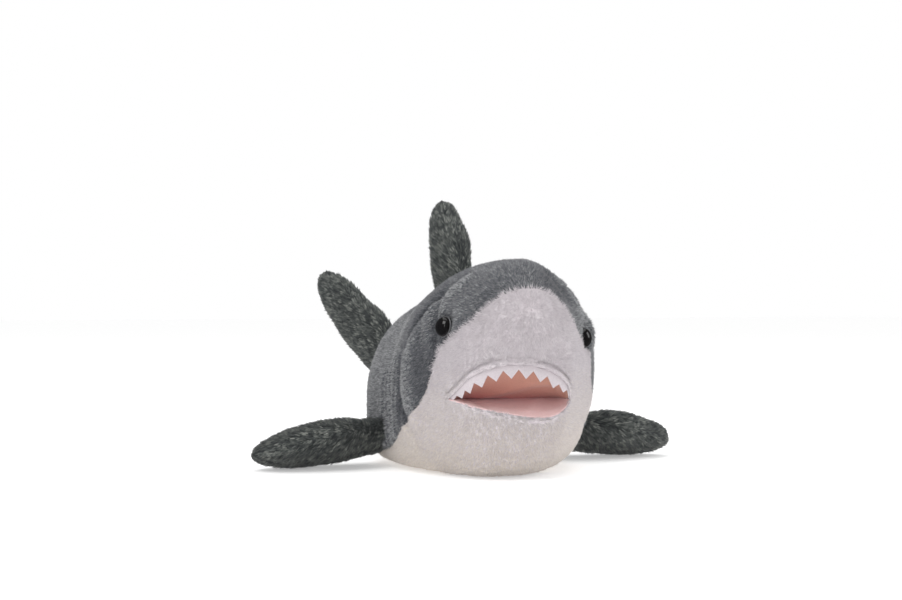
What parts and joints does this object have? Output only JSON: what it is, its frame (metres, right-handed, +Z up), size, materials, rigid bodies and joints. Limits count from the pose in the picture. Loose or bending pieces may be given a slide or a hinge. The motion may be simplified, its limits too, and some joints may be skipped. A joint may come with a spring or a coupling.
{
  "type": "plush shark",
  "caption": "Stuffed plush shark with an open felt-toothed mouth, domed eyes, side fins, a back fin and a forked tail; head, jaw, fins and tail bend.",
  "frame": {"origin": "middle of the flat that the belly rests on, on the floor plane", "axes": "-Y to the snout along the torso, +Y to the tail, +X to the shark's left, +Z up"},
  "size_m": [0.2986, 0.3406, 0.1774],
  "materials": {
    "grey_plush": "matte",
    "fin_plush": "matte",
    "white_plush": "matte",
    "pink_fabric": "matte",
    "palate_fabric": "matte",
    "felt": "matte",
    "thread": "matte",
    "filling": "matte",
    "eye_plastic": "gloss",
    "washer_plastic": "satin"
  },
  "bodies": {
    "torso": {"torso_stuffing": "filling", "back_panel_right": "grey_plush", "back_panel_left": "grey_plush", "belly_panel": "white_plush", "gill_stitches_right": "thread", "gill_stitches_left": "thread"},
    "head": {"head_stuffing": "filling", "crown_panel_right": "grey_plush", "crown_panel_left": "grey_plush", "muzzle_panel_right": "white_plush", "muzzle_panel_left": "white_plush", "throat_panel": "white_plush", "palate_lining": "palate_fabric", "teeth_strip": "felt", "eye_right": "eye_plastic", "eye_left": "eye_plastic", "eye_washer_right": "washer_plastic", "eye_washer_left": "washer_plastic"},
    "jaw": {"jaw_stuffing": "filling", "chin_panel": "white_plush", "tongue_lining": "pink_fabric"},
    "pectoral_right": {"pectoral_stuffing_right": "filling", "pectoral_top_panel_right": "fin_plush", "pectoral_under_panel_right": "fin_plush"},
    "pectoral_left": {"pectoral_stuffing_left": "filling", "pectoral_top_panel_left": "fin_plush", "pectoral_under_panel_left": "fin_plush"},
    "dorsal": {"dorsal_stuffing": "filling", "dorsal_panel_right": "fin_plush", "dorsal_panel_left": "fin_plush"},
    "tail": {"tail_stuffing": "filling", "tail_panel_right": "grey_plush", "tail_panel_left": "grey_plush"},
    "tail_fin": {"upper_lobe_stuffing": "filling", "upper_lobe_panel_right": "fin_plush", "upper_lobe_panel_left": "fin_plush", "lower_lobe_stuffing": "filling", "lower_lobe_panel_right": "fin_plush", "lower_lobe_panel_left": "fin_plush"}
  },
  "joints": [
    {"name": "neck_turn", "type": "hinge", "parent": "torso", "child": "head", "pos_m": [0, -0.022, 0.06], "axis": [0, 0, 1], "range_deg": [-9, 31], "stiffness_Nm_per_rad": 0.15},
    {"name": "jaw_close", "type": "hinge", "parent": "head", "child": "jaw", "pos_m": [-0.01469, -0.09759, 0.0476], "axis": [-0.9816, 0.1908, 0], "range_deg": [0, 8], "stiffness_Nm_per_rad": 0.08, "springref_deg": -11.46},
    {"name": "pectoral_right_flap", "type": "hinge", "parent": "torso", "child": "pectoral_right", "pos_m": [-0.062, 0.004, 0.021], "axis": [0, 0.8829, -0.4695], "range_deg": [0, 50], "stiffness_Nm_per_rad": 0.02},
    {"name": "pectoral_left_flap", "type": "hinge", "parent": "torso", "child": "pectoral_left", "pos_m": [0.062, 0.004, 0.021], "axis": [0, -0.8829, 0.4695], "range_deg": [0, 50], "stiffness_Nm_per_rad": 0.02},
    {"name": "dorsal_fold", "type": "hinge", "parent": "torso", "child": "dorsal", "pos_m": [0, 0.028, 0.1105], "axis": [0, 0.9563, -0.2924], "range_deg": [-50, 50], "stiffness_Nm_per_rad": 0.03},
    {"name": "tail_wag", "type": "hinge", "parent": "torso", "child": "tail", "pos_m": [0, 0.1, 0.06], "axis": [0, 0, 1], "range_deg": [-44, 16], "stiffness_Nm_per_rad": 0.06},
    {"name": "tail_fin_twist", "type": "hinge", "parent": "tail", "child": "tail_fin", "pos_m": [-0.00581, 0.12329, 0.06], "axis": [-0.2419, 0.9703, 0], "range_deg": [-20, 40], "stiffness_Nm_per_rad": 0.04}
  ]
}
